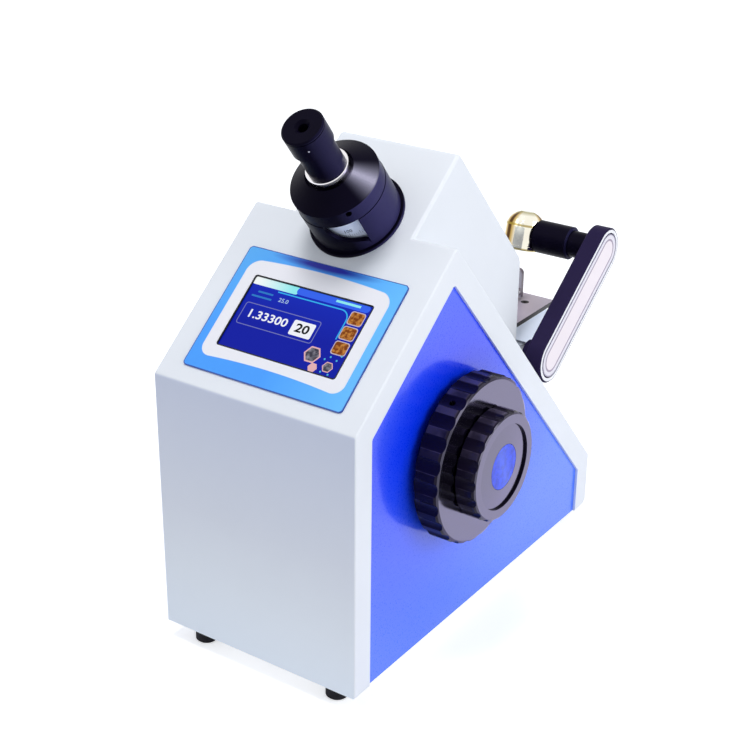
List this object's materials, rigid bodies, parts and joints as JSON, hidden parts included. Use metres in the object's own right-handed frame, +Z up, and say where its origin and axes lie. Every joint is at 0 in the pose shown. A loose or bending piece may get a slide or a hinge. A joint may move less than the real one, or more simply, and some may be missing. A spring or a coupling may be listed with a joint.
{
  "type": "abbe refractometer",
  "caption": "Bench Abbe refractometer with a sloping touch display, a sighting tube, side knobs, a hinged prism lid and a swing-arm lamp.",
  "frame": {"origin": "centre of the whole instrument's footprint, on the bench, with the prism lid open", "axes": "+X to the user's right where the knobs are, +Y away from the user, +Z up"},
  "size_m": [0.2026, 0.368, 0.387],
  "materials": {
    "aluminium": "satin",
    "barrel": "polished gold",
    "base": "satin dark grey",
    "bezel": "satin light blue",
    "black": "satin black",
    "black_plastic": "satin black",
    "block": "satin pale blue-grey",
    "board": "matte green",
    "brass": "satin",
    "cap_blue": "gloss blue",
    "chrome": "polished",
    "drum": "satin white",
    "glass": "clear",
    "knob_face": "satin grey-violet",
    "lcd": "matte",
    "mirror": "polished",
    "panel": "satin blue",
    "rubber": "matte black",
    "screen": "gloss",
    "shell": "satin off-white",
    "stage": "brushed",
    "steel": "brushed",
    "trim": "gloss white"
  },
  "bodies": {
    "housing": {"angle_encoder": "black_plastic", "arm_pivot": "black", "base_plate": "base", "case_screws": "steel", "compensator_cup": "aluminium", "compensator_sleeve": "black", "control_board": "board", "display_bezel": "bezel", "eyepiece_tube": "black", "hinge_pin": "steel", "hose_nozzles": "brass", "knob_bush": "aluminium", "lcd_module": "lcd", "lock_ring": "chrome", "main_shell": "shell", "measuring_prism": "glass", "objective_lens": "glass", "optical_frame": "aluminium", "power_inlet": "black_plastic", "power_supply": "aluminium", "prism_block": "block", "reticle": "glass", "rubber_feet": "rubber", "serial_port": "steel", "side_panel_left": "panel", "side_panel_right": "panel", "stage_plate": "stage", "stage_screws": "steel", "switch_housing": "black_plastic", "telescope_tube": "black", "temperature_probe": "steel", "touch_screen": "screen"},
    "handwheel": {"handwheel": "black", "scale_drum": "drum"},
    "compensator_pinion": {"compensator_pinion": "brass"},
    "upper_prism_cell": {"upper_prism_cell": "brass", "upper_prism": "glass"},
    "lower_prism_cell": {"lower_prism_cell": "brass", "lower_prism": "glass"},
    "diopter_ring": {"diopter_ring": "black"},
    "eye_lens": {"eye_lens": "glass"},
    "coarse_knob": {"coarse_knob": "knob_face", "coarse_shaft": "steel", "drive_pinion": "brass"},
    "fine_knob": {"fine_knob": "knob_face", "fine_knob_cap": "cap_blue", "fine_shaft": "steel"},
    "mirror_carrier": {"mirror_holder": "steel", "scan_mirror": "mirror", "sector_gear": "brass"},
    "prism_lid": {"prism_lid": "steel", "lid_prism": "glass"},
    "lamp_arm": {"lamp_arm": "black", "arm_trim": "trim", "arm_inlay": "trim"},
    "lamp_head": {"lamp_tube": "black", "lamp_barrel": "barrel", "lamp_lens": "glass", "led_module": "board"},
    "switch_rocker": {"switch_rocker": "black_plastic"}
  },
  "joints": [
    {"name": "coarse_knob_turn", "type": "hinge", "parent": "housing", "child": "coarse_knob", "pos_m": [-0.0188, -0.06301, 0.1485], "axis": [1, 0, 0], "range_deg": [-90, 90]},
    {"name": "fine_knob_turn", "type": "hinge", "parent": "coarse_knob", "child": "fine_knob", "pos_m": [-0.0188, -0.06301, 0.1485], "axis": [1, 0, 0], "range_deg": [-180, 180]},
    {"name": "mirror_tilt", "type": "hinge", "parent": "housing", "child": "mirror_carrier", "pos_m": [-0.0188, 0.02092, 0.1951], "axis": [1, 0, 0], "range_deg": [-12.91, 12.91]},
    {"name": "handwheel_turn", "type": "hinge", "parent": "housing", "child": "handwheel", "pos_m": [-0.0188, -0.06633, 0.30362], "axis": [0, -0.6266, 0.7793], "continuous": true},
    {"name": "compensator_pinion_turn", "type": "hinge", "parent": "housing", "child": "compensator_pinion", "pos_m": [-0.0188, -0.0632, 0.29972], "axis": [1, 0, 0], "continuous": true},
    {"name": "upper_prism_turn", "type": "hinge", "parent": "housing", "child": "upper_prism_cell", "pos_m": [-0.0188, -0.06633, 0.30362], "axis": [0, -0.6266, 0.7793], "continuous": true},
    {"name": "lower_prism_turn", "type": "hinge", "parent": "housing", "child": "lower_prism_cell", "pos_m": [-0.0188, -0.06633, 0.30362], "axis": [0, -0.6266, 0.7793], "continuous": true},
    {"name": "diopter_turn", "type": "hinge", "parent": "housing", "child": "diopter_ring", "pos_m": [-0.0188, -0.1152, 0.36441], "axis": [0, -0.6266, 0.7793], "range_deg": [-150, 150]},
    {"name": "eye_lens_slide", "type": "slide", "parent": "housing", "child": "eye_lens", "axis": [0, -0.6266, 0.7793], "range_m": [-0.0025, 0.0025]},
    {"name": "prism_lid_hinge", "type": "hinge", "parent": "housing", "child": "prism_lid", "pos_m": [-0.0188, 0.11699, 0.1953], "axis": [1, 0, 0], "range_deg": [-15, 90]},
    {"name": "lamp_arm_hinge", "type": "hinge", "parent": "housing", "child": "lamp_arm", "pos_m": [-0.0188, 0.08299, 0.1633], "axis": [1, 0, 0], "range_deg": [-45, 45]},
    {"name": "lamp_turn", "type": "hinge", "parent": "lamp_arm", "child": "lamp_head", "pos_m": [-0.0188, 0.16541, 0.22541], "axis": [1, 0, 0], "range_deg": [-60, 60]},
    {"name": "power_switch_tilt", "type": "hinge", "parent": "housing", "child": "switch_rocker", "pos_m": [-0.0188, 0.14079, 0.037], "axis": [1, 0, 0], "range_deg": [-16, 0]}
  ],
  "couplings": [
    {"joint": "mirror_tilt", "follows": "coarse_knob_turn", "ratio": -0.14286},
    {"joint": "compensator_pinion_turn", "follows": "handwheel_turn", "ratio": -4},
    {"joint": "upper_prism_turn", "follows": "handwheel_turn", "ratio": 2},
    {"joint": "lower_prism_turn", "follows": "handwheel_turn", "ratio": -2},
    {"joint": "eye_lens_slide", "follows": "diopter_turn", "m_per_rad": 0.00095}
  ]
}
